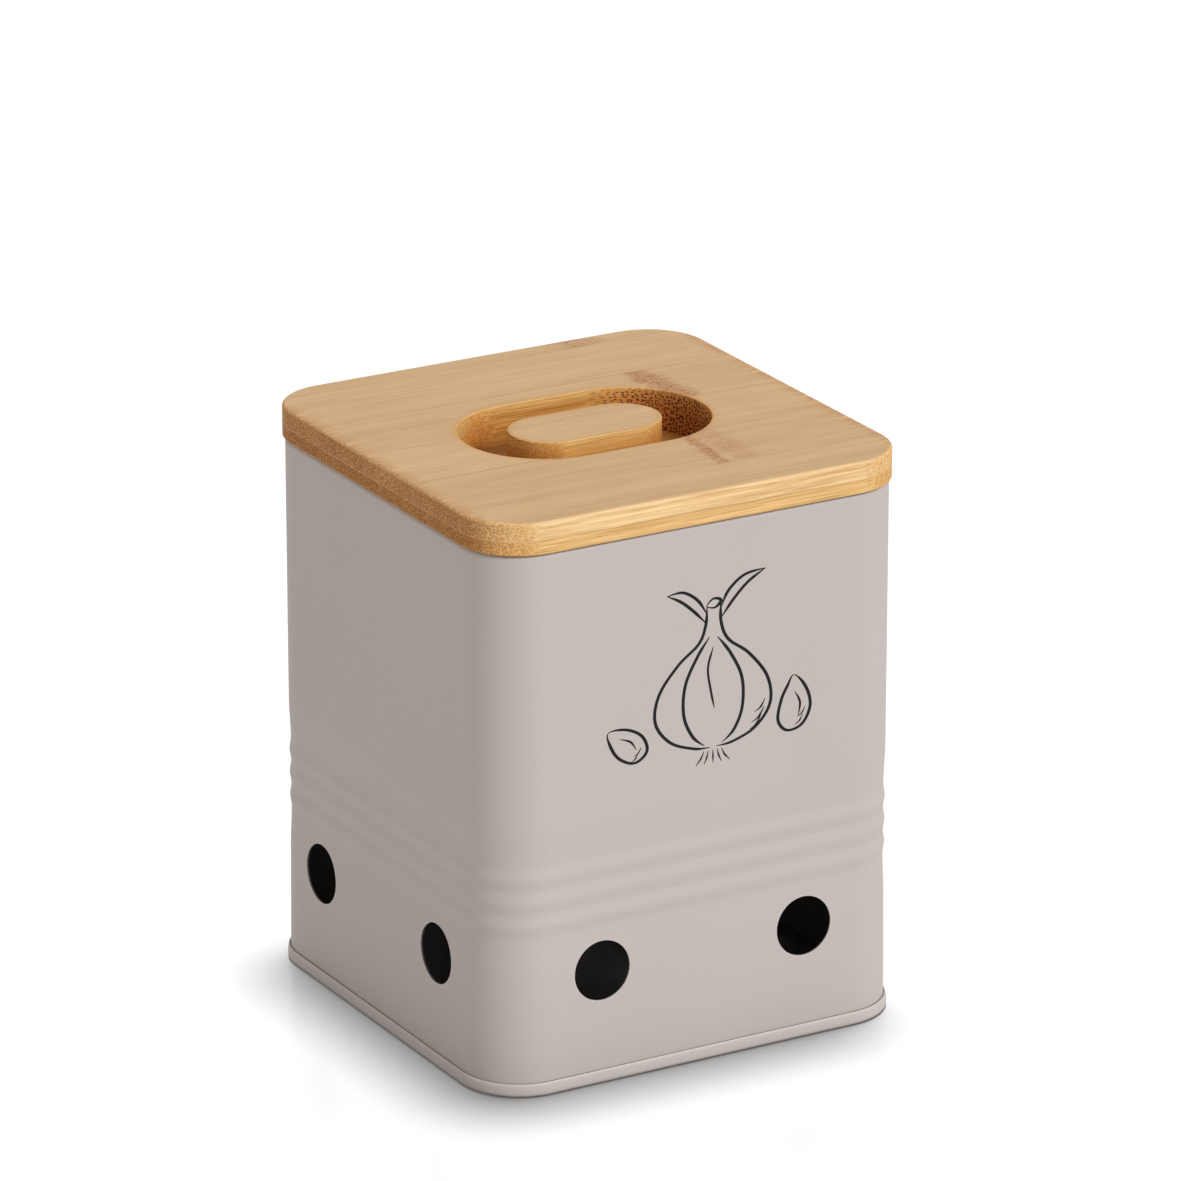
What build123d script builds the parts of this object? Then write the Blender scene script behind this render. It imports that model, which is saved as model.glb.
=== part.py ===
from build123d import *
import os

# Garlic keeper: a square sheet-metal tin with vent holes, closed by a lift-off bamboo lid.
# Millimetres, +Z up. The origin is the middle of the footprint, on the surface the tin stands on.
# The printed front faces -Y. Profiles are drawn as (distance outward from the plain wall, height).

# ---- tin wall: one wrapped sheet, rolled inward at the mouth ----
TIN_WIDTH = 132.0  # outside of the plain wall, in both directions
TIN_HEIGHT = 157.5  # surface to the top of the rolled mouth
TIN_CORNER = 17.0  # outside radius of the upright corners
SHEET = 0.5
CURL_DIAMETER = 3.0  # the mouth's rolled edge
FOOT_FLARE = 0.3  # how far the wall leans out from the grooves to the rim

GROOVE_COUNT = 4  # rolled inward all round, which leaves a bead between each two
GROOVE_PITCH = 6.9
GROOVE_DEPTH = 0.42
GROOVE_LOWEST = 46.3  # height of the lowest groove's middle
GROOVE_RUNOUT = 12.0  # height over which the plain wall eases into the outermost grooves

VENT_DIAMETER = 17.4
FRONT_VENT_SPACING = 64.6  # between the two vents of the front, and of the back
SIDE_VENT_SPACING = 67.3  # between the two vents of the left side, and of the right side
SIDE_VENT_SHIFT = 1.0  # of the side vents, towards the back
VENT_HEIGHT = 33.2
VENT_CUT = 4.0  # length of the punch, past both faces of the sheet

LOCK_SEAM_WIDTH = 5.0  # the sheet's two ends, hooked together at the middle of the back
LOCK_SEAM_THICKNESS = 1.1
LOCK_SEAM_BITE = 0.05  # how far the hooked ends run into the wall's sheet
SEAM_LINE = 0.4  # the crease that the hooked ends leave outside, wide
SEAM_LINE_DEPTH = 0.2

# ---- tin base: pressed panel whose rim is folded up round the wall's foot ----
RIM_HEIGHT = 4.0
RIM_PROUD = 1.2  # beyond the plain wall
RIM_ROUND = 1.2  # the rim's rounding at the surface
RIM_LIP = 0.3  # thickness of the rim's upper edge
RIM_FLOOR = 1.0  # metal under the wall's foot
RIM_INNER = 1.0  # metal inside the wall's foot
RIM_INNER_ROUND = 0.3
PANEL_RECESS = 3.0  # underside of the panel above the surface
FIELD_MARGIN = 16.0  # plain border round the panel's raised field
FIELD_CORNER = 9.0
FIELD_RISE = 0.8

# ---- bamboo lid: three plies of strips, glued up and then machined ----
LID_SEAT_GAP = 0.1  # lid above the rolled mouth that it rests on
LID_PLATE = 9.4  # the part of the lid that shows above the tin
LID_OVERHANG = 0.75
LID_EDGE_ROUND = 1.0
LID_UNDER_ROUND = 0.6
TOP_PLY = 5.3
CORE_PLY = 6.7
BOTTOM_PLY = 6.0
TOP_FRONT_STRIP = 18.0  # the strips at a ply's front and back are trimmed with the board
TOP_BACK_STRIP = 7.5
TOP_FULL_STRIPS = 4  # strips between them, which share the rest of the ply's width
CORE_FRONT_STRIP = 9.0
CORE_BACK_STRIP = 16.5
CORE_FULL_STRIPS = 4
BOTTOM_FRONT_STRIP = 17.0
BOTTOM_BACK_STRIP = 25.6
BOTTOM_FULL_STRIPS = 3

PLUG_GAP = 1.2  # plug to the rolled mouth
PLUG_ROUND = 1.0
GRIP_LENGTH = 46.0
GRIP_WIDTH = 23.4
FINGER_GAP_END = 14.1  # routed clear at each end of the grip
FINGER_GAP_SIDE = 12.8  # and along each of its sides
LIP_ROUND = 0.4

# ---- silicone seal, sprung into a groove round the plug ----
SEAL_HEIGHT = 3.0
SEAL_LIFT = 1.5  # groove above the plug's underside
SEAL_DEPTH = 1.6  # groove into the plug
SEAL_CLEARANCE = 0.3  # lips to the rolled mouth
SEAL_LIP = 0.9  # height of one lip
SEAL_LIPS = 2

# ---- what follows from them ----
HALF = TIN_WIDTH / 2
CURL = CURL_DIAMETER / 2
GROOVE_HIGHEST = GROOVE_LOWEST + (GROOVE_COUNT - 1) * GROOVE_PITCH
GROOVES_START = GROOVE_LOWEST - GROOVE_RUNOUT
GROOVES_END = GROOVE_HIGHEST + GROOVE_RUNOUT
PANEL_TOP = PANEL_RECESS + SHEET
LID_SEAT = TIN_HEIGHT + LID_SEAT_GAP
LID_TOP = LID_SEAT + LID_PLATE
CORE_TOP = LID_TOP - TOP_PLY
BOTTOM_TOP = CORE_TOP - CORE_PLY
PLUG_UNDER = BOTTOM_TOP - BOTTOM_PLY
PLUG_INSET = CURL_DIAMETER + PLUG_GAP
LID_WIDTH = TIN_WIDTH + 2 * LID_OVERHANG
PLUG_WIDTH = TIN_WIDTH - 2 * PLUG_INSET
POCKET_LENGTH = GRIP_LENGTH + 2 * FINGER_GAP_END
POCKET_WIDTH = GRIP_WIDTH + 2 * FINGER_GAP_SIDE


def around(profile):
    """Carries a profile once round the tin: straight along each side, turned at each corner."""
    reach = HALF - TIN_CORNER
    side = extrude(Plane.XZ.offset(-reach) * Pos(HALF, 0) * profile, 2 * reach)
    bend = revolve(Plane.XZ * Pos(TIN_CORNER, 0) * profile, Axis.Z, 90)
    quarter = side + Pos(reach, reach, 0) * bend
    return quarter + [Rot(0, 0, 90 * turn) * quarter for turn in range(1, 4)]


def rounded_block(outward, low, high):
    """A solid with the tin's plan, grown by outward, between two heights."""
    plan = RectangleRounded(TIN_WIDTH + 2 * outward, TIN_WIDTH + 2 * outward, TIN_CORNER + outward)
    return Pos(0, 0, low) * extrude(plan, high - low)


def grooved_line(outward, foot_z):
    """The wall's section line from its foot to the rolled mouth, moved outward."""
    foot = outward + FOOT_FLARE
    deep = outward - GROOVE_DEPTH
    waves = [[(outward, GROOVES_START), (deep, GROOVE_LOWEST)]]
    for index in range(GROOVE_COUNT - 1):
        low = GROOVE_LOWEST + index * GROOVE_PITCH
        waves.append([(deep, low), (outward, low + GROOVE_PITCH / 2), (deep, low + GROOVE_PITCH)])
    waves.append([(deep, GROOVE_HIGHEST), (outward, GROOVES_END)])
    return [
        Line((foot, foot_z), (foot, RIM_HEIGHT)),
        Line((foot, RIM_HEIGHT), (outward, GROOVES_START)),
        *[Spline(points, tangents=[(0, 1), (0, 1)]) for points in waves],
        Line((outward, GROOVES_END), (outward, TIN_HEIGHT - CURL)),
    ]


def wall_section():
    outside = grooved_line(0, RIM_FLOOR)
    inside = grooved_line(-SHEET, RIM_FLOOR)
    centre = (-CURL, TIN_HEIGHT - CURL)
    curl_outside = CenterArc(centre, CURL, 0, 270)
    curl_inside = CenterArc(centre, CURL - SHEET, 0, 270)
    foot = Line((FOOT_FLARE, RIM_FLOOR), (FOOT_FLARE - SHEET, RIM_FLOOR))
    curl_end = Line(curl_outside @ 1, curl_inside @ 1)
    return make_face(outside + inside + [curl_outside, curl_inside, foot, curl_end])


def seam_crease():
    """The line where the sheet's two ends meet, down the back and over the grooves."""
    proud = grooved_line(SEAM_LINE_DEPTH, RIM_FLOOR)
    sunk = grooved_line(-SEAM_LINE_DEPTH, RIM_FLOOR)
    ends = [Line(proud[0] @ 0, sunk[0] @ 0), Line(proud[-1] @ 1, sunk[-1] @ 1)]
    band = make_face(proud + sunk + ends)
    return extrude(Plane.YZ * Pos(HALF, 0) * band, SEAM_LINE / 2, both=True)


def tin_wall():
    wall = around(wall_section())
    seam_low = PANEL_TOP + SHEET
    seam_high = TIN_HEIGHT - CURL_DIAMETER - SHEET
    hooked_ends = Box(LOCK_SEAM_WIDTH, LOCK_SEAM_THICKNESS, seam_high - seam_low)
    hooked_y = HALF - SHEET + LOCK_SEAM_BITE - LOCK_SEAM_THICKNESS / 2
    wall += Pos(0, hooked_y, (seam_low + seam_high) / 2) * hooked_ends
    wall -= Pos(LOCK_SEAM_WIDTH / 2, 0, 0) * seam_crease()
    punch = Rot(90, 0, 0) * Cylinder(VENT_DIAMETER / 2, VENT_CUT)
    for face in (-HALF, HALF):
        for end in (-1, 1):
            along_x = end * FRONT_VENT_SPACING / 2
            along_y = end * SIDE_VENT_SPACING / 2 + SIDE_VENT_SHIFT
            wall -= Pos(along_x, face, VENT_HEIGHT) * punch
            wall -= Pos(face, along_y, VENT_HEIGHT) * Rot(0, 0, 90) * punch
    return wall


def rim_section():
    foot_in = FOOT_FLARE - SHEET
    inner = foot_in - RIM_INNER
    lip = FOOT_FLARE + RIM_LIP
    crown = Bezier((lip, RIM_HEIGHT), (RIM_PROUD, RIM_HEIGHT), (RIM_PROUD, RIM_ROUND))
    turned = TangentArc((RIM_PROUD, RIM_ROUND), (RIM_PROUD - RIM_ROUND, 0), tangent=(0, -1))
    rest = Polyline(
        (RIM_PROUD - RIM_ROUND, 0),
        (inner + RIM_INNER_ROUND, 0),
        (inner, RIM_INNER_ROUND),
        (inner, PANEL_TOP),
        (foot_in, PANEL_TOP),
        (foot_in, RIM_FLOOR),
        (FOOT_FLARE, RIM_FLOOR),
        (FOOT_FLARE, RIM_HEIGHT),
        (lip, RIM_HEIGHT),
    )
    return make_face([crown, turned, rest])


def tin_base():
    panel = rounded_block(FOOT_FLARE - SHEET - RIM_INNER / 2, PANEL_RECESS, PANEL_TOP)
    field = RectangleRounded(TIN_WIDTH - 2 * FIELD_MARGIN, TIN_WIDTH - 2 * FIELD_MARGIN, FIELD_CORNER)
    hollow = offset(field, -SHEET)
    panel += Pos(0, 0, PANEL_TOP) * extrude(field, FIELD_RISE)
    panel -= Pos(0, 0, PANEL_RECESS) * extrude(hollow, FIELD_RISE)
    return around(rim_section()) + panel


def seal_section(groove_only):
    plug_face = -PLUG_INSET
    low = PLUG_UNDER + SEAL_LIFT
    body = Pos(plug_face - SEAL_DEPTH / 2, low + SEAL_HEIGHT / 2) * Rectangle(SEAL_DEPTH, SEAL_HEIGHT)
    if groove_only:
        return body
    reach = PLUG_GAP - SEAL_CLEARANCE
    step = SEAL_HEIGHT / SEAL_LIPS
    for index in range(SEAL_LIPS):
        foot = low + index * step + (step - SEAL_LIP) / 2
        body += make_face(
            Polyline(
                (plug_face, foot),
                (plug_face + reach, foot + SEAL_LIP / 2),
                (plug_face + reach, foot + SEAL_LIP),
                (plug_face, foot + SEAL_LIP),
                (plug_face, foot),
            )
        )
    return body


def rounded_at(solid, height, radius):
    """Rounds the edges of a solid that lie flat at one height."""
    edges = solid.edges().filter_by_position(Axis.Z, height, height)
    return fillet(edges, radius)


def lid_board():
    """The glued board after machining, before it is told apart into plies and strips."""
    plate = rounded_block(LID_OVERHANG, LID_SEAT, LID_TOP)
    plate = rounded_at(plate, LID_TOP, LID_EDGE_ROUND)
    plate = rounded_at(plate, LID_SEAT, LID_UNDER_ROUND)
    plug = rounded_at(rounded_block(-PLUG_INSET, PLUG_UNDER, LID_SEAT), PLUG_UNDER, PLUG_ROUND)
    board = plate + plug - around(seal_section(groove_only=True))
    pocket = extrude(SlotOverall(POCKET_LENGTH, POCKET_WIDTH), LID_TOP - BOTTOM_TOP)
    board -= Pos(0, 0, BOTTOM_TOP) * pocket
    mouth = [
        edge
        for edge in board.edges().filter_by_position(Axis.Z, LID_TOP, LID_TOP)
        if abs(edge.center().Y) <= POCKET_WIDTH / 2 and abs(edge.center().X) <= POCKET_LENGTH / 2
    ]
    return fillet(mouth, LIP_ROUND)


def lid_grip():
    """The island that the router leaves standing in the pocket."""
    island = extrude(SlotOverall(GRIP_LENGTH, GRIP_WIDTH), LID_TOP - BOTTOM_TOP)
    return rounded_at(Pos(0, 0, BOTTOM_TOP) * island, LID_TOP, LIP_ROUND)


def strip_edges(width, front_strip, back_strip, full_strips):
    """Front and back edge of each strip of a ply, counted from the front."""
    full_width = (width - front_strip - back_strip) / full_strips
    front = -width / 2
    for strip in [front_strip] + full_strips * [full_width] + [back_strip]:
        yield front, front + strip
        front += strip


def solids_between(solid, low, high, front, back):
    """What one strip of one ply keeps of a solid, from left to right."""
    cell = Pos(0, (front + back) / 2, (low + high) / 2) * Box(LID_WIDTH, back - front, high - low)
    piece = solid & cell
    return list(piece.solids().sort_by(Axis.X)) if piece else []


def lid_pieces():
    top = strip_edges(LID_WIDTH, TOP_FRONT_STRIP, TOP_BACK_STRIP, TOP_FULL_STRIPS)
    core = strip_edges(LID_WIDTH, CORE_FRONT_STRIP, CORE_BACK_STRIP, CORE_FULL_STRIPS)
    bottom = strip_edges(PLUG_WIDTH, BOTTOM_FRONT_STRIP, BOTTOM_BACK_STRIP, BOTTOM_FULL_STRIPS)
    plies = {
        "top": (CORE_TOP, LID_TOP, top),
        "core": (BOTTOM_TOP, CORE_TOP, core),
        "bottom": (PLUG_UNDER, BOTTOM_TOP, bottom),
    }
    board = lid_board()
    grip = lid_grip()
    pieces = {}
    for ply, (low, high, edges) in plies.items():
        for number, (front, back) in enumerate(edges, start=1):
            parts = solids_between(board, low, high, front, back)
            ends = [""] if len(parts) == 1 else ["_left", "_right"]
            for end, part in zip(ends, parts):
                pieces[f"lid_{ply}_strip_{number}{end}"] = part
            for part in solids_between(grip, low, high, front, back):
                pieces[f"grip_{ply}_strip_{number}"] = part
    return pieces


nodes = {
    "tin_wall": tin_wall(),
    "tin_base": tin_base(),
    "lid_seal": around(seal_section(groove_only=False)),
    **lid_pieces(),
}
os.makedirs("parts", exist_ok=True)
for name, shape in nodes.items():
    shape.label = name
    export_step(shape, f"parts/{name}.step")
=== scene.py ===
import math

import bpy
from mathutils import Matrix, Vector


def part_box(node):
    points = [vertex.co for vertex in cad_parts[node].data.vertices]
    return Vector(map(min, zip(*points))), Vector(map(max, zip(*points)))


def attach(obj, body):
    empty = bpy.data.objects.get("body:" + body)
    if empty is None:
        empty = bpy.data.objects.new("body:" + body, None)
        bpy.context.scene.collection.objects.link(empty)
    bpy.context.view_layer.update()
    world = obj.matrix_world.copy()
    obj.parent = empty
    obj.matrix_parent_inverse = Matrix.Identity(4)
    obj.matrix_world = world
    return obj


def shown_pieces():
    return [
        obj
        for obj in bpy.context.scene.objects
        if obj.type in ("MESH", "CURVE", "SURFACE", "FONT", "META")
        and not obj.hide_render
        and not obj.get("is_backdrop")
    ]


# Garlic keeper: a vented tin with a printed front and a laminated bamboo lid.
# Metres, in the frame of the CAD model: +Z up, -Y the printed front, +X along the lid's grain.
# Shader patterns and the print are worked out in millimetres.

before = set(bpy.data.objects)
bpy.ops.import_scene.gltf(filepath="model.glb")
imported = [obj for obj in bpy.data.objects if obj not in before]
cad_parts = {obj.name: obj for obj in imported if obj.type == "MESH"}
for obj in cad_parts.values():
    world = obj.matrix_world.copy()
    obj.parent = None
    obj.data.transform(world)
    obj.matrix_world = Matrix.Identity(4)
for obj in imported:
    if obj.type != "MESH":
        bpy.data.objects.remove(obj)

MM = 0.001


def nodes_of(start):
    return sorted(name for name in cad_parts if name.startswith(start))


def box_mm(names):
    """Lowest and highest corners of these CAD nodes together, in mm."""
    boxes = [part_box(name) for name in names]
    lowest = [min(low[axis] for low, high in boxes) for axis in range(3)]
    highest = [max(high[axis] for low, high in boxes) for axis in range(3)]
    return Vector(lowest) / MM, Vector(highest) / MM


# ---- camera ----
CAMERA_AZIMUTH = -29.864
CAMERA_ELEVATION = 19.919
CAMERA_DISTANCE = 2.19903
AIM_RIGHT = 0.001618
AIM_UP = 0.110429
SENSOR = 36.0
FOCAL_LENGTH = 235.485
CLIP_NEAR = 0.05
CLIP_FAR = 100.0

# ---- light and floor ----
WHITE = (1.0, 1.0, 1.0, 1.0)
SKY_STRENGTH = 0.85
KEY_AZIMUTH = 20.0
KEY_ELEVATION = 36.0
KEY_STRENGTH = 2.98
KEY_ANGLE = 20.0
KEY_COLOUR = (0.858, 0.925, 1.0)
TOP_AZIMUTH = 133.0
TOP_ELEVATION = 84.7
TOP_STRENGTH = 9.6
TOP_ANGLE = 12.0
TOP_COLOUR = (1.0, 1.0, 1.0)
FLOOR_SIZE = 10.0
FLOOR_DROP = 0.02
FLOOR_COLOUR = (0.27, 0.27, 0.27, 1.0)
FLOOR_GLOW = 0.05

# ---- tin, in mm ----
WALL_HIGH = box_mm(["tin_wall"])[1]
FOOT_FLARE = 0.3
HALF_WIDTH = WALL_HIGH.x - FOOT_FLARE
CORNER = 17.0
CURL = 3.0
UNDER_CURL = WALL_HIGH.z - CURL - 0.2
PANEL_MIDDLE = 3.25
RIM_HEIGHT = 4.0
RIM_CROWN = (-0.6, -0.1)
NEAR_SIDE = 2.0
OUTWARD_SHARE = 0.35
FRONT_VENT = 32.3
SIDE_VENT = 33.65
SIDE_VENT_SHIFT = 1.0
VENT_HEIGHT = 33.2
VENT_RADIUS = 8.7
VENT_RING = (0.7, 0.15)

# ---- powder coat, and the dark paint on the tin's inner faces that stands for shade ----
COAT_COLOUR = (0.357, 0.31, 0.281)
COAT_TONE = 0.9575
# painted light: the base's coat is lighter than the wall's, for the light that its rim catches
RIM_PAINTED_LIGHT_TONE = 1.03
INSIDE_SHADE_DARK = (0.11, 0.094, 0.084, 1.0)
INSIDE_SHADE_LIGHT = (0.145, 0.124, 0.11, 1.0)
PEEL_CELL = (1.1, 1.1, 1.1)
GRIT_CELL = (0.22, 0.22, 0.22)
CLOUD_CELL = (38.0, 38.0, 52.0)
FLECK_CELL = (0.75, 0.75, 0.75)

# ---- lid, in mm ----
LID_HIGH = box_mm(nodes_of("lid_top_strip_"))[1]
LID_TOP = LID_HIGH.z
LID_HALF = LID_HIGH.x
GRIP_HIGH = box_mm(nodes_of("grip_top_strip_"))[1]
GRIP_RADIUS = GRIP_HIGH.y
GRIP_STRAIGHT = GRIP_HIGH.x - GRIP_RADIUS
FINGER_GAP_END = 14.1
FINGER_GAP_SIDE = 12.8
POCKET_RADIUS = GRIP_RADIUS + FINGER_GAP_SIDE
POCKET_STRAIGHT = GRIP_HIGH.x + FINGER_GAP_END - POCKET_RADIUS

# ---- bamboo: colours and tints ----
LONG_LIGHT = (0.645, 0.436, 0.212, 1.0)
LONG_DARK = (0.4, 0.218, 0.076, 1.0)
END_LIGHT = (0.56, 0.31, 0.12, 1.0)
END_DARK = (0.235, 0.083, 0.019, 1.0)
DOT = (0.11, 0.033, 0.009, 1.0)
DENSE_DOT = (0.06, 0.017, 0.005, 1.0)
MARK = (0.255, 0.081, 0.018, 1.0)
LIP_DARK = (0.385, 0.203, 0.082, 1.0)
LIP_LIGHT = (0.51, 0.298, 0.134, 1.0)
GLUE = (0.27, 0.135, 0.055, 1.0)
GLUE_PALE = (0.5, 0.31, 0.18, 1.0)
PLAIN = (1.0, 1.0, 1.0, 1.0)
# painted shade: darkens the upward faces to offset the light from above
PAINTED_TOP_SHADE = (0.816, 0.785, 0.83)
# oil tint of the pocket, with painted shade: this is its darker colour deep down
OILED_AND_SHADED = (0.86, 0.62, 0.33, 1.0)
OILED_HIGH = (0.98, 0.84, 0.53, 1.0)
# painted light: paler gold tints for the pocket's left wall, which faces the key light
PAINTED_LIGHT_GOLD = (0.93, 0.88, 0.64, 1.0)
PAINTED_LIGHT_GOLD_TOP = (1.03, 1.06, 0.84, 1.0)
SCORCHED = (0.93, 0.77, 0.69, 1.0)
# painted glow beside the pocket's and the grip's edges
PAINTED_GLOW = (0.98, 0.86, 0.66, 1.0)
# painted light on the lid's end grain at its corners
PAINTED_CORNER_LIGHT = (1.01, 1.09, 1.16, 1.0)

# ---- bamboo: lumps of the grain, in mm along X, Y and Z ----
SWAY_CELL = (70.0, 9.0, 9.0)
SWAY = 3.2
FIBRE_CELL = (22.0, 0.42, 0.42)
STREAK_CELL = (95.0, 1.3, 1.3)
BROAD_CELL = (190.0, 8.0, 8.0)
BLOTCH_CELL = (24.0, 9.0, 9.0)
SPLINTER_CELL = (3.0, 0.6, 0.6)
MARK_EDGE_CELL = (6.0, 2.2, 3.0)
MARK_FLECK_CELL = (1.7, 0.6, 0.8)
LIP_CELL = (2.5, 0.9, 1.0)
LIP_RAGGED = 4.0
GLUE_GAP_CELL = (11.0, 3.0, 3.0)
POCKET_PITCH = 0.72
POCKET_END_PITCH = 1.02

# ---- bamboo: where a look begins and where it is full, in mm ----
ROUTED_DEPTH = (0.2, 1.2)
ROUTED_MARGIN = (4.0, 8.0)
RIGHT_WALL = (8.0, 27.0)
# painted light: where the pocket's left wall begins and where it is full
PAINTED_LIGHT_LEFT_WALL = (-22.0, -30.0)
# painted shade: the pocket is darker from 1.2 mm down and darkest below 4 mm
PAINTED_SHADE_DEPTH = (4.0, 1.2)
SCORCHED_WALL = (20.0, 33.0)
# painted glow: how far from the edges it reaches
PAINTED_GLOW_WIDTH = (2.6, 0.0)
LIP_WIDTH = (5.3, 1.0)
GLUE_WIDTH = (0.3, 0.08)

# ---- bamboo: the strips. A mark is a node's place along X, width, slant and strength. ----
TOP_STRIPS = {
    1: {"tone": 0.0, "marks": ()},
    2: {"tone": -0.03, "marks": ((21.1, 4.2, -0.105, 0.95), (24.5, 9.0, 0.0, 0.42))},
    3: {"tone": 0.03, "marks": ()},
    4: {"tone": -0.02, "marks": ((37.5, 10.0, 0.12, 1.0),)},
    5: {"tone": 0.04, "marks": ()},
    6: {"tone": -0.01, "marks": ((34.0, 15.0, 0.0, 0.6),)},
}
PLIES = {
    "top": {"pitch": 0.66, "tone": 0.06, "tint": (1.0, 1.0, 1.0)},
    "core": {"pitch": 0.64, "tone": 0.0, "tint": (0.94, 0.87, 0.73)},
    "bottom": {"pitch": 0.8, "tone": -0.02, "tint": (0.97, 0.94, 0.9)},
}
SEED_STEP = (371.0, 83.0, 47.0)
SEEDS_PER_PLY = 7

# ---- seal ----
SILICONE_DARK = (0.62, 0.62, 0.59, 1.0)
SILICONE_LIGHT = (0.74, 0.74, 0.71, 1.0)

# ---- print on the front, in mm ----
PRINT_CENTRE = (2.5, 112.0)
PRINT_FACE = -HALF_WIDTH
INK_PROUD = 0.03
INK_SUNK = 0.03
INK_STEP = 0.002
INK_LEVELS = 3
INK_DARK = (0.005, 0.005, 0.005, 1.0)
INK_LIGHT = (0.014, 0.013, 0.012, 1.0)
STROKE = 1.0
FINE_STROKE = 0.7


class Graph:
    """The node tree of one material."""

    def __init__(self, name):
        self.material = bpy.data.materials.new(name)
        self.material.use_nodes = True
        self.tree = self.material.node_tree
        self.tree.nodes.clear()
        self.place = self.add("ShaderNodeTexCoord")

    def add(self, kind, inputs=None, **settings):
        node = self.tree.nodes.new(kind)
        for key, value in settings.items():
            setattr(node, key, value)
        for key, value in (inputs or {}).items():
            self.feed(node.inputs[key], value)
        return node

    def feed(self, socket, value):
        if isinstance(value, bpy.types.NodeSocket):
            self.tree.links.new(value, socket)
        else:
            socket.default_value = value

    def math(self, operation, *values, clamp=False):
        node = self.add("ShaderNodeMath", operation=operation, use_clamp=clamp)
        for socket, value in zip(node.inputs, values):
            self.feed(socket, value)
        return node.outputs[0]

    def total(self, *values):
        result = values[0]
        for value in values[1:]:
            result = self.math("ADD", result, value)
        return result

    def product(self, *values):
        result = values[0]
        for value in values[1:]:
            result = self.math("MULTIPLY", result, value)
        return result

    def minus(self, a, b):
        return self.math("SUBTRACT", a, b)

    def size(self, value):
        """The value without its sign."""
        return self.math("ABSOLUTE", value)

    def clamped(self, value):
        return self.math("ADD", value, 0.0, clamp=True)

    def weighed(self, base, *parts):
        """base plus every (value, weight) of parts."""
        return self.total(*[self.product(value, weight) for value, weight in parts], base)

    def swing(self, noise, amount):
        """Noise between 0 and 1, turned into a swing round 0 whose whole width is amount."""
        return self.product(self.minus(noise, 0.5), amount)

    def step(self, value, low, high):
        """0 below low and 1 above high, smooth between; falls instead where low is the larger."""
        node = self.add("ShaderNodeMapRange", interpolation_type="SMOOTHSTEP")
        for key, number in (("Value", value), ("From Min", low), ("From Max", high)):
            self.feed(node.inputs[key], number)
        return node.outputs["Result"]

    def blend(self, factor, low, high):
        """Colour from low to high as factor goes from 0 to 1."""
        node = self.add("ShaderNodeMix", data_type="RGBA")
        self.feed(node.inputs[0], factor)
        self.feed(node.inputs[6], low)
        self.feed(node.inputs[7], high)
        return node.outputs[2]

    def split(self, vector):
        node = self.add("ShaderNodeSeparateXYZ", {"Vector": vector})
        return [node.outputs[axis] for axis in "XYZ"]

    def join(self, x, y, z):
        return self.add("ShaderNodeCombineXYZ", {"X": x, "Y": y, "Z": z}).outputs[0]

    def vector(self, operation, a, b):
        node = self.add("ShaderNodeVectorMath", operation=operation)
        self.feed(node.inputs[0], a)
        self.feed(node.inputs[1], b)
        return node.outputs[0]

    def tinted(self, colour, tint):
        return self.vector("MULTIPLY", colour, tint)

    def point(self):
        """Where the surface is, in millimetres."""
        return self.vector("MULTIPLY", self.place.outputs["Object"], (1 / MM,) * 3)

    def noise(self, point, cell, detail=2.0, roughness=0.5):
        """Noise between 0 and 1 whose lumps measure cell = (x, y, z)."""
        scaled = self.vector("DIVIDE", point, cell)
        inputs = {"Vector": scaled, "Scale": 1.0, "Detail": detail, "Roughness": roughness}
        return self.add("ShaderNodeTexNoise", inputs).outputs["Fac"]

    def cells(self, point, cell, randomness, space="3D"):
        """Distance to the nearest of scattered points, in cells of size cell = (x, y, z)."""
        scaled = self.vector("DIVIDE", point, cell)
        inputs = {"Vector": scaled, "Scale": 1.0, "Randomness": randomness}
        return self.add("ShaderNodeTexVoronoi", inputs, voronoi_dimensions=space).outputs["Distance"]

    def bump(self, height, distance, strength):
        """Surface normal bent by a height between 0 and 1 that measures distance mm."""
        inputs = {"Height": height, "Distance": distance * MM, "Strength": strength}
        return self.add("ShaderNodeBump", inputs).outputs["Normal"]

    def surface(self, **inputs):
        """Principled shader with these inputs; underscores stand for spaces."""
        named = {key.replace("_", " "): value for key, value in inputs.items()}
        shader = self.add("ShaderNodeBsdfPrincipled", named)
        out = self.add("ShaderNodeOutputMaterial")
        self.tree.links.new(shader.outputs[0], out.inputs["Surface"])
        return self.material


def wear(node, material):
    """Gives a CAD node its material."""
    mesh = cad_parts[node].data
    mesh.materials.clear()
    mesh.materials.append(material)


# ---------------------------------------------------------------- tin


def past_flat(g, coordinate):
    """How far a point is past the flat part of the wall along one axis, in mm."""
    return g.math("MAXIMUM", g.minus(g.size(coordinate), HALF_WIDTH - CORNER), 0.0)


def faces_outward(g, point):
    """1 on the tin's outer face, 0 on its inner face and on cut edges."""
    lean = 0.0
    normal = g.split(g.place.outputs["Normal"])
    for coordinate, part in zip(g.split(point)[:2], normal):
        lean = g.total(g.product(past_flat(g, coordinate), g.math("SIGN", coordinate), part), lean)
    return g.math("GREATER_THAN", lean, CORNER * OUTWARD_SHARE)


def faces_inward(g, point):
    return g.minus(1.0, faces_outward(g, point))


def wall_inside(g, point):
    """The wall's inner face and the vents' cut edges, up to the rolled mouth."""
    return g.product(faces_inward(g, point), g.math("LESS_THAN", g.split(point)[2], UNDER_CURL))


def base_inside(g, point):
    """The panel's upper face and its raised field."""
    return g.product(faces_inward(g, point), g.math("GREATER_THAN", g.split(point)[2], PANEL_MIDDLE))


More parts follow.
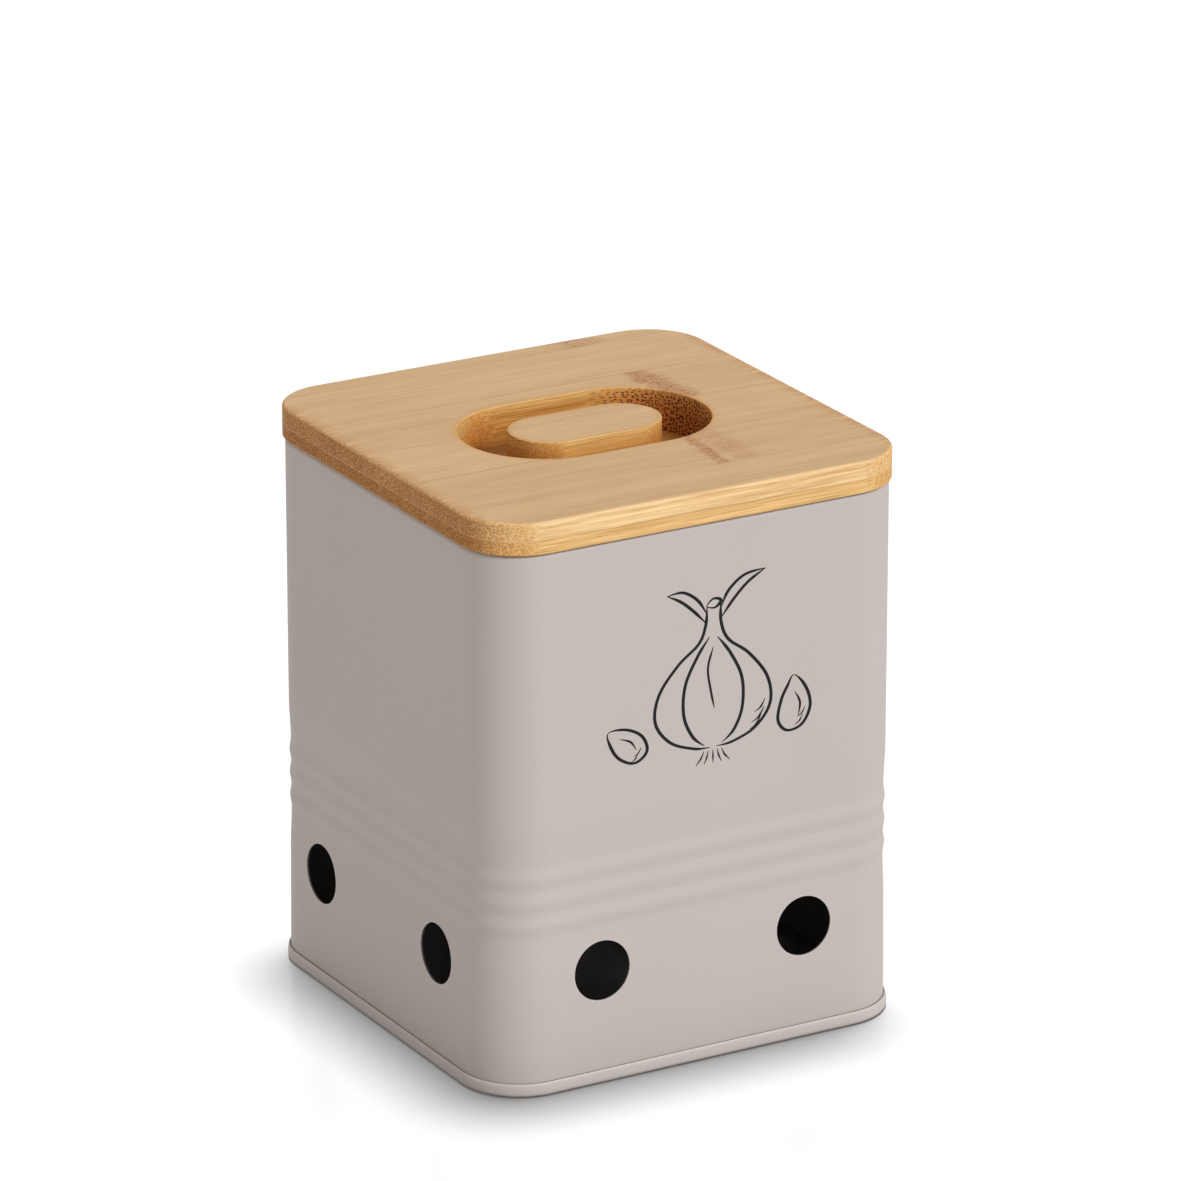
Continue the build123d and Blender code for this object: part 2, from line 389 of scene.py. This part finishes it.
def vent_rings(g, point):
    """A thin worn ring round each vent."""
    x, y, z = g.split(point)
    on_side = g.math("GREATER_THAN", g.size(x), HALF_WIDTH - NEAR_SIDE)
    from_front_vent = g.minus(g.size(x), FRONT_VENT)
    from_side_vent = g.minus(g.size(g.minus(y, SIDE_VENT_SHIFT)), SIDE_VENT)
    aside = g.total(
        g.product(on_side, from_side_vent),
        g.product(g.minus(1.0, on_side), from_front_vent),
    )
    up = g.minus(z, VENT_HEIGHT)
    away = g.math("SQRT", g.total(g.product(aside, aside), g.product(up, up)))
    return g.step(g.minus(away, VENT_RADIUS), *VENT_RING)


def rim_crown(g, point):
    """The top of the base's rim, where hands and shelves rub it."""
    return g.step(g.minus(g.split(point)[2], RIM_HEIGHT), *RIM_CROWN)


def powder_coat(name, inside, worn, tone=COAT_TONE):
    """Matt powder coat with fine orange peel.

    inside is 1 on the inner faces, which are painted dark as shade, and worn is 1 where the coat is
    rubbed.
    """
    g = Graph(name)
    point = g.point()
    peel = g.noise(point, PEEL_CELL, detail=3.0, roughness=0.6)
    grit = g.noise(point, GRIT_CELL, detail=1.0)
    cloud = g.noise(point, CLOUD_CELL)
    fleck = g.step(g.cells(point, FLECK_CELL, randomness=1.0), 0.16, 0.05)
    rubbed = g.product(worn(g, point), g.step(peel, 0.35, 0.6))
    level = g.weighed(tone, (cloud, 0.05), (grit, 0.035), (fleck, -0.02), (rubbed, 0.07))
    coat = g.tinted(COAT_COLOUR, g.join(level, level, level))
    # painted shade: the tin's inner faces are near black
    painted_inside_shade = g.blend(grit, INSIDE_SHADE_DARK, INSIDE_SHADE_LIGHT)
    height = g.weighed(0.0, (peel, 0.75), (grit, 0.25))
    return g.surface(
        Base_Color=g.blend(inside(g, point), coat, painted_inside_shade),
        Roughness=g.weighed(0.5, (peel, 0.12), (cloud, 0.05), (rubbed, -0.08)),
        IOR=1.45,
        Specular_IOR_Level=0.4,
        Normal=g.bump(height, 0.035, 0.6),
    )


# ---------------------------------------------------------------- bamboo


class Bamboo(Graph):
    """The material of one strip of bamboo, with its fibres along X.

    seed gives the strip a grain of its own, tone makes it lighter or darker, and pitch is the
    distance in mm between its bundles of fibres.
    """

    def __init__(self, name, seed, tone, pitch):
        super().__init__(name)
        self.tone = tone
        here = self.point()
        self.x, self.y, self.z = self.split(here)
        self.seeded = self.vector("ADD", here, seed)
        self.find_surfaces()
        self.grow_fibres()
        self.lay_bundles(pitch)

    def find_surfaces(self):
        """What kind of surface this is: each value is 1 there and 0 elsewhere."""
        normal = self.split(self.place.outputs["Normal"])
        self.nx, self.ny, self.nz = [self.size(part) for part in normal]
        self.depth = self.minus(LID_TOP, self.z)
        leftward = self.math("LESS_THAN", normal[0], 0.0)
        margin = self.minus(LID_HALF, self.math("MAXIMUM", self.size(self.x), self.size(self.y)))
        self.cut = self.step(self.nx, 0.06, 0.4)
        self.routed = self.product(
            self.step(self.depth, *ROUTED_DEPTH),
            self.step(margin, *ROUTED_MARGIN),
        )
        self.right_wall = self.product(self.routed, leftward, self.step(self.x, *RIGHT_WALL))
        # painted light: the pocket's left wall, which faces the key light
        self.painted_light_left_wall = self.product(self.routed, self.step(self.x, *PAINTED_LIGHT_LEFT_WALL))
        outer = self.minus(1.0, self.routed)
        self.outer_cut = self.product(self.cut, outer)
        # painted shade on the lid's outer ends: 1 on the left end, which faces away from the key
        # light, and 0.4 on the right end
        self.painted_shade_end = self.product(
            self.math("POWER", self.nx, 3.0),
            outer,
            self.weighed(0.4, (leftward, 0.6)),
        )

    def grow_fibres(self):
        """Fibres and streaks along the strip, and its slow changes of tone."""
        sway = self.swing(self.noise(self.seeded, SWAY_CELL, 1.0), SWAY)
        self.swayed = self.vector("ADD", self.seeded, self.join(0.0, sway, sway))
        self.fibre = self.noise(self.swayed, FIBRE_CELL, 3.0, 0.65)
        self.streak = self.noise(self.swayed, STREAK_CELL, 2.0, 0.6)
        broad = self.noise(self.seeded, BROAD_CELL, 1.0)
        blotch = self.noise(self.seeded, BLOTCH_CELL)
        self.slow = self.total(self.swing(broad, 0.38), self.swing(blotch, 0.3))

    def lay_bundles(self, pitch):
        """Bundles of fibres where they are cut across: dot is 1 on a bundle, net between them."""
        across = self.join(*self.split(self.swayed)[1:], 0.0)
        fine, coarse, wide = [
            self.cells(across, (distance, distance, 1.0), 0.7, "2D")
            for distance in (pitch, POCKET_PITCH, POCKET_END_PITCH)
        ]
        head_on = self.product(self.right_wall, self.step(self.nx, 0.72, 0.93))
        bundle = self.total(
            fine,
            self.product(self.routed, self.minus(coarse, fine)),
            self.product(head_on, self.minus(wide, coarse)),
        )
        slant = self.product(self.cut, self.minus(1.0, self.nx))
        squeezed = self.math("DIVIDE", bundle, self.minus(1.0, self.product(slant, 0.45)))
        swollen = self.minus(squeezed, self.product(self.right_wall, 0.075))
        self.dot = self.step(swollen, 0.38, 0.2)
        self.net = self.step(bundle, 0.4, 0.6)

    def long_grain(self):
        """Colour along the fibres, with less contrast on the sanded faces than on the sides, and
        painted shade on the upward faces.
        """
        contrast = self.total(self.math("POWER", self.ny, 2.0), self.product(self.routed, 0.35), 0.48)
        grain = self.total(
            self.swing(self.fibre, 1.7),
            self.swing(self.streak, 1.0),
            self.product(self.minus(0.3, self.dot), 0.14),
        )
        level = self.total(self.product(grain, contrast), self.slow, 0.54 + self.tone)
        colour = self.blend(self.clamped(level), LONG_DARK, LONG_LIGHT)
        # painted shade: upward faces darker
        return self.blend(self.math("POWER", self.nz, 3.0), colour, self.tinted(colour, PAINTED_TOP_SHADE))

    def end_grain(self):
        """Colour where the fibres are cut across: dark bundles in a paler net."""
        splinters = self.noise(self.seeded, SPLINTER_CELL, 3.0)
        # painted shade: the end grain on the lid's outer ends is darker, the left end most, and its
        # dots are a little fainter
        level = self.weighed(
            0.86 + self.tone,
            (self.net, self.weighed(0.5, (self.outer_cut, -0.16))),
            (self.outer_cut, 0.04),
            (self.minus(splinters, 0.5), 1.1),
            (self.slow, 0.6),
            (self.painted_shade_end, -0.72),
            (self.painted_light_left_wall, 0.08),
            (self.right_wall, 0.22),
        )
        ground = self.blend(self.clamped(level), END_DARK, END_LIGHT)
        # painted light: the pocket's left wall, which faces the key light, gets a lighter ground above
        # and fainter dots here
        strength = self.weighed(
            0.3,
            (self.painted_shade_end, -0.04),
            (self.routed, 0.08),
            (self.right_wall, 0.55),
            (self.painted_light_left_wall, -0.12),
        )
        spot = self.blend(self.right_wall, DOT, DENSE_DOT)
        return self.blend(self.product(self.dot, strength), ground, spot)

    def oil(self):
        """Tint of the pocket: paler near the top and darker deeper down as painted shade in the
        recess, golden at its left as painted light on the wall that faces the key light, scorched at
        its right.
        """
        # painted shade: the pocket's tint darkens with depth
        high = self.step(self.depth, *PAINTED_SHADE_DEPTH)
        oiled = self.blend(high, OILED_AND_SHADED, OILED_HIGH)
        # painted light: the pocket's left wall is tinted a paler gold
        oiled = self.blend(self.painted_light_left_wall, oiled, self.blend(high, PAINTED_LIGHT_GOLD, PAINTED_LIGHT_GOLD_TOP))
        scorched = self.product(self.routed, self.step(self.x, *SCORCHED_WALL))
        return self.tinted(oiled, self.blend(scorched, PLAIN, SCORCHED))

    def off_stadium(self, straight, radius):
        """Distance in mm from the outline of a stadium round the lid's middle."""
        past = self.math("MAXIMUM", self.minus(self.size(self.x), straight), 0.0)
        squares = self.total(self.product(past, past), self.product(self.y, self.y))
        return self.size(self.minus(self.math("SQRT", squares), radius))

    def painted_edge_glow(self):
        """Painted glow: an orange tint on the lid's top beside the edges of the pocket and of the
        grip, where their rounded lips catch the light.
        """
        off = self.math(
            "MINIMUM",
            self.off_stadium(POCKET_STRAIGHT, POCKET_RADIUS),
            self.off_stadium(GRIP_STRAIGHT, GRIP_RADIUS),
        )
        return self.blend(self.step(off, *PAINTED_GLOW_WIDTH), PLAIN, PAINTED_GLOW)

    def painted_corner_light(self):
        """Painted light: a paler, less saturated tint on the end grain where the lid's sides turn from
        its ends, where the corner is lit.
        """
        corner = self.product(self.outer_cut, self.step(self.nx, 0.97, 0.75))
        return self.blend(corner, PLAIN, PAINTED_CORNER_LIGHT)

    def node_mark(self, centre, width, slant, strength):
        """Where one of the culm's nodes crosses the strip: a band of short brown flecks."""
        ragged = self.swing(self.noise(self.seeded, MARK_EDGE_CELL, 3.0), 0.9 * width)
        off = self.minus(self.total(self.x, self.product(self.y, slant), ragged), centre)
        band = self.step(self.size(off), width * 0.62, width * 0.2)
        flecks = self.step(self.noise(self.seeded, MARK_FLECK_CELL, 3.0, 0.6), 0.47, 0.6)
        seen = self.math("MAXIMUM", self.product(band, 0.38), self.product(band, flecks))
        return self.product(seen, strength, self.minus(1.0, self.product(self.cut, 0.85)))

    def ragged_end_lip(self):
        """1 on a ragged strip of the top along both ends of the lid, which gets a colour of its own,
        darker and more saturated than the top.
        """
        ragged = self.swing(self.noise(self.seeded, LIP_CELL), LIP_RAGGED)
        from_end = self.minus(LID_HALF, self.size(self.x))
        near_end = self.step(self.total(from_end, ragged), *LIP_WIDTH)
        return self.product(near_end, self.step(self.nz, 0.15, 0.6))

    def glue_lines(self, y_joints, z_joints):
        """1 on the glue between this strip and its neighbours."""
        glue = 0.0
        for coordinate, planes in ((self.y, y_joints), (self.z, z_joints)):
            for plane in planes:
                line = self.step(self.size(self.minus(coordinate, plane)), *GLUE_WIDTH)
                glue = self.math("MAXIMUM", glue, line)
        return glue


def bamboo(name, seed, tone, pitch, tint, y_joints, z_joints, marks):
    """The finished material of one strip; the joints are the planes where it is glued, in mm."""
    g = Bamboo(name, seed, tone, pitch)
    colour = g.blend(g.cut, g.long_grain(), g.end_grain())
    # painted glow on the top beside the edges, and the pocket's tint with its painted shade and light
    colour = g.tinted(colour, g.blend(g.routed, g.painted_edge_glow(), g.oil()))
    # painted light where the lid's sides turn into its ends
    colour = g.tinted(colour, g.painted_corner_light())
    colour = g.tinted(colour, tint)
    for mark in marks:
        colour = g.blend(g.node_mark(*mark), colour, MARK)
    colour = g.blend(g.ragged_end_lip(), colour, g.blend(g.net, LIP_DARK, LIP_LIGHT))
    glue = g.glue_lines(y_joints, z_joints)
    broken = g.step(g.noise(g.seeded, GLUE_GAP_CELL), 0.3, 0.62)
    glue_colour = g.blend(g.outer_cut, GLUE, GLUE_PALE)
    colour = g.blend(g.product(glue, broken, 0.5), colour, glue_colour)
    pores = g.product(g.dot, g.cut)
    height = g.weighed(0.0, (g.fibre, 0.35), (g.streak, 0.25), (pores, -0.9), (glue, -0.5))
    return g.surface(
        Base_Color=colour,
        Roughness=g.weighed(0.42, (g.fibre, 0.14), (g.dot, 0.1), (g.cut, 0.1)),
        IOR=1.45,
        Specular_IOR_Level=g.weighed(0.25, (g.outer_cut, -0.15)),
        Normal=g.bump(height, 0.07, 0.7),
    )


def strip_number(name):
    return int(name.split("_strip_")[1].split("_")[0])


def dress_ply(ply, order):
    """One material for each strip of a ply, shared by what the router left of it."""
    strips = {}
    for name in nodes_of(f"lid_{ply}_strip_") + nodes_of(f"grip_{ply}_strip_"):
        strips.setdefault(strip_number(name), []).append(name)
    for number, names in strips.items():
        low, high = box_mm(names)
        look = TOP_STRIPS.get(number, {}) if ply == "top" else {}
        y_joints = [low.y] if number > 1 else []
        y_joints += [high.y] if number < max(strips) else []
        z_joints = [low.z] if ply != "bottom" else []
        z_joints += [high.z] if ply != "top" else []
        material = bamboo(
            f"bamboo_{ply}_{number}",
            seed=tuple(step * (number + SEEDS_PER_PLY * order) for step in SEED_STEP),
            tone=PLIES[ply]["tone"] + look.get("tone", 0.0),
            pitch=PLIES[ply]["pitch"],
            tint=PLIES[ply]["tint"],
            y_joints=y_joints,
            z_joints=z_joints,
            marks=look.get("marks", ()),
        )
        for name in names:
            wear(name, material)


# ---------------------------------------------------------------- seal


def silicone():
    g = Graph("silicone")
    point = g.point()
    fine = g.noise(point, (0.5, 0.5, 0.5))
    cloud = g.noise(point, (9.0, 9.0, 3.0))
    return g.surface(
        Base_Color=g.blend(cloud, SILICONE_DARK, SILICONE_LIGHT),
        Roughness=g.weighed(0.42, (fine, 0.12)),
        IOR=1.41,
        Subsurface_Weight=0.25,
        Subsurface_Scale=0.001,
        Normal=g.bump(fine, 0.02, 0.5),
    )


# ---------------------------------------------------------------- print

# A drawn garlic bulb with two leaves and two loose cloves: (x, z) in mm from the print's centre.
BULB = {
    "outline_left": [(-2, 21.5), (-2.4, 16), (-4.6, 11), (-11, 6), (-17, -1.5), (-18.2, -9.5),
                     (-13.5, -16), (-6, -19.2), (-0.8, -19.8)],
    "outline_right": [(2.4, 22.6), (2.5, 16.2), (4.9, 10.8), (11.4, 5.6), (17.3, -2.2), (18.3, -10.2),
                      (13.6, -16.4), (6.4, -19.3), (1.2, -19.7)],
    "clove_left": [(-1.2, 12.5), (-5.2, 7), (-8.8, -0.5), (-9.2, -9), (-6.4, -15.6), (-2.6, -19)],
    "clove_right": [(1.4, 12.2), (5.6, 6.6), (9.2, -1), (9.4, -9.6), (6.8, -15.8), (3, -19)],
    "crease": [(0.1, 9.5), (-1.6, 3.5), (-0.7, -3), (0.5, -8.5)],
    "stem_top": [(-2, 21.5), (0, 23.4), (2.4, 22.6), (0.6, 20.8), (-2, 21.5)],
    "leaf_right_upper": [(2.4, 20.4), (4.8, 25), (9.8, 28.6), (16.5, 29.4)],
    "leaf_right_lower": [(2.6, 17.6), (6.4, 22.2), (11, 26.4), (16.5, 29.4)],
    "leaf_left_upper": [(-2.1, 19.4), (-5, 23.8), (-9.6, 26.8), (-14.6, 26.6)],
    "leaf_left_lower": [(-2.4, 16.8), (-6, 20.6), (-10.2, 24.2), (-14.6, 26.6)],
    "loose_right": [(26, -3.5), (29.8, -7.8), (31.2, -13.4), (28.6, -18.4), (23.8, -19.4), (20.9, -16),
                    (21.8, -10.4), (23.8, -6.4), (26, -3.5)],
    "loose_right_crease": [(26.2, -8.4), (27.9, -11.8), (27.4, -15.6)],
    "loose_left": [(-33, -9.6), (-27.4, -9.6), (-22.4, -12.4), (-20.8, -17), (-24.6, -19.8),
                   (-29.4, -17.8), (-32.2, -13.8), (-33, -9.6)],
    "loose_left_crease": [(-29.4, -12), (-26, -13.4), (-24.2, -16)],
}
# The roots' x where they leave the bulb, and (x, z, length) of the short strokes of shading.
ROOTS = (-2.8, -1.4, 0.1, 1.5, 2.9)
HATCHES = ((16.7, -8.6, 3.4), (16.4, -10.9, 4.0), (15.4, -13.2, 3.6), (29.6, -13.4, 2.6),
           (28.8, -15.6, 2.6), (-22.6, -15.6, 2.2), (-23.6, -17.2, 2.2))


def drawing_strokes():
    """Every stroke of the drawing: its points and its width."""
    strokes = [(points, FINE_STROKE if "crease" in name else STROKE) for name, points in BULB.items()]
    for root in ROOTS:
        strokes.append(([(root, -20.6), (root * 1.3, -22.5), (root * 1.9, -24.4)], FINE_STROKE))
    for x, z, length in HATCHES:
        bend = (x - 0.45 * length, z - 0.7 * length)
        strokes.append(([(x, z), bend, (x - length, z - length)], FINE_STROKE))
    return strokes


def curve_through(points, pieces=14):
    """Points along a smooth line through points."""
    closed = points[0] == points[-1]
    before = points[-2] if closed else points[0]
    after = points[1] if closed else points[-1]
    padded = [Vector(p) for p in [before, *points, after]]
    line = []
    for a, b, c, d in zip(padded, padded[1:], padded[2:], padded[3:]):
        for index in range(pieces):
            t = index / pieces
            bend = 2 * a - 5 * b + 4 * c - d
            line.append(0.5 * (2 * b + (c - a) * t + bend * t**2 + (3 * b - a - 3 * c + d) * t**3))
    return line + [padded[-2]]


def ink_stroke(points, width, level, vertices, faces):
    """A pen stroke that swells where it runs down the wall and tapers at its ends."""
    line = curve_through(points)
    lengths = [0.0]
    for a, b in zip(line, line[1:]):
        lengths.append(lengths[-1] + (b - a).length)
    first = len(vertices)
    front = PRINT_FACE - INK_PROUD - level * INK_STEP
    for index, place in enumerate(line):
        ahead = line[min(index + 1, len(line) - 1)] - line[max(index - 1, 0)]
        ahead.normalize()
        swell = 0.72 + 0.28 * abs(ahead.y)
        from_end = min(lengths[index], lengths[-1] - lengths[index])
        taper = 0.25 + 0.75 * min(1.0, from_end / (4 * width))
        side = Vector((-ahead.y, ahead.x)) * (width / 2 * swell * taper)
        for edge in (place - side, place + side):
            for depth in (front, PRINT_FACE + INK_SUNK):
                x = (PRINT_CENTRE[0] + edge.x) * MM
                z = (PRINT_CENTRE[1] + edge.y) * MM
                vertices.append((x, depth * MM, z))
    for index in range(len(line) - 1):
        at = first + 4 * index
        for a, b in ((0, 2), (2, 3), (3, 1), (1, 0)):
            faces.append((at + a, at + b, at + b + 4, at + a + 4))
    end = first + 4 * (len(line) - 1)
    faces.append((first, first + 1, first + 3, first + 2))
    faces.append((end, end + 2, end + 3, end + 1))


def ink():
    g = Graph("ink")
    point = g.point()
    peel = g.noise(point, PEEL_CELL, 3.0, 0.6)
    grain = g.noise(point, (0.35, 0.35, 0.35))
    return g.surface(
        Base_Color=g.blend(grain, INK_DARK, INK_LIGHT),
        Roughness=g.weighed(0.5, (peel, 0.15)),
        IOR=1.45,
        Specular_IOR_Level=0.12,
        Normal=g.bump(peel, 0.03, 0.5),
    )


def add_print():
    vertices = []
    faces = []
    for index, (points, width) in enumerate(drawing_strokes()):
        ink_stroke(points, width, index % INK_LEVELS, vertices, faces)
    mesh = bpy.data.meshes.new("front_print")
    mesh.from_pydata(vertices, [], faces)
    mesh.materials.append(ink())
    drawing = bpy.data.objects.new("front_print", mesh)
    bpy.context.scene.collection.objects.link(drawing)
    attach(drawing, "tin")


# ---------------------------------------------------------------- floor, light, camera


def floor_material():
    g = Graph("floor")
    speck = g.noise(g.point(), (40.0, 40.0, 40.0))
    return g.surface(
        Base_Color=FLOOR_COLOUR,
        Roughness=g.weighed(0.12, (speck, 0.04)),
        Specular_IOR_Level=0.25,
        Emission_Color=WHITE,
        Emission_Strength=FLOOR_GLOW,
    )


def add_floor():
    half = FLOOR_SIZE / 2
    mesh = bpy.data.meshes.new("floor")
    corners = [(-half, -half, 0.0), (half, -half, 0.0), (half, half, 0.0), (-half, half, 0.0)]
    mesh.from_pydata(corners, [], [(0, 1, 2, 3)])
    mesh.materials.append(floor_material())
    floor = bpy.data.objects.new("floor", mesh)
    floor.location.z = -FLOOR_DROP * MM
    bpy.context.scene.collection.objects.link(floor)
    floor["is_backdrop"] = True
    return floor


def direction(azimuth, elevation):
    """Unit vector towards a view or light at this azimuth and elevation, in degrees."""
    a = math.radians(azimuth)
    e = math.radians(elevation)
    return Vector((math.sin(a) * math.cos(e), -math.cos(a) * math.cos(e), math.sin(e)))


def add_sun(name, azimuth, elevation, strength, angle, colour, lit):
    """A wide soft light that reaches only the objects in lit."""
    light = bpy.data.lights.new(name, "SUN")
    light.energy = strength
    light.color = colour
    light.angle = math.radians(angle)
    lamp = bpy.data.objects.new(name, light)
    lamp.rotation_mode = "QUATERNION"
    lamp.rotation_quaternion = (-direction(azimuth, elevation)).to_track_quat("-Z", "Y")
    bpy.context.scene.collection.objects.link(lamp)
    receivers = bpy.data.collections.new(f"{name}_lights")
    for piece in lit:
        receivers.objects.link(piece)
    lamp.light_linking.receiver_collection = receivers


def add_light(floor, pieces):
    """A white sky, a key light for the keeper and a light from above for the floor."""
    world = bpy.data.worlds.new("studio")
    world.use_nodes = True
    background = world.node_tree.nodes["Background"]
    background.inputs["Color"].default_value = WHITE
    background.inputs["Strength"].default_value = SKY_STRENGTH
    bpy.context.scene.world = world
    add_sun("key", KEY_AZIMUTH, KEY_ELEVATION, KEY_STRENGTH, KEY_ANGLE, KEY_COLOUR, pieces)
    add_sun("top", TOP_AZIMUTH, TOP_ELEVATION, TOP_STRENGTH, TOP_ANGLE, TOP_COLOUR, [floor])


def add_camera():
    back = direction(CAMERA_AZIMUTH, CAMERA_ELEVATION)
    azimuth = math.radians(CAMERA_AZIMUTH)
    right = Vector((math.cos(azimuth), math.sin(azimuth), 0.0))
    up = right.cross(-back)
    data = bpy.data.cameras.new("camera")
    data.sensor_width = SENSOR
    data.lens = FOCAL_LENGTH
    data.clip_start = CLIP_NEAR
    data.clip_end = CLIP_FAR
    camera = bpy.data.objects.new("camera", data)
    camera.location = right * AIM_RIGHT + up * AIM_UP + back * CAMERA_DISTANCE
    camera.rotation_mode = "QUATERNION"
    camera.rotation_quaternion = (-back).to_track_quat("-Z", "Y")
    bpy.context.scene.collection.objects.link(camera)
    bpy.context.scene.camera = camera


def main():
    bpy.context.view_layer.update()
    bpy.context.scene.view_settings.view_transform = "Standard"
    add_camera()
    wear("tin_wall", powder_coat("powder_coat_wall", wall_inside, vent_rings))
    # painted light: the base's coat is toned lighter than the wall's
    wear("tin_base", powder_coat("powder_coat_base", base_inside, rim_crown, RIM_PAINTED_LIGHT_TONE))
    wear("lid_seal", silicone())
    for order, ply in enumerate(PLIES):
        dress_ply(ply, order)
    add_print()
    add_light(add_floor(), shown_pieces())


main()
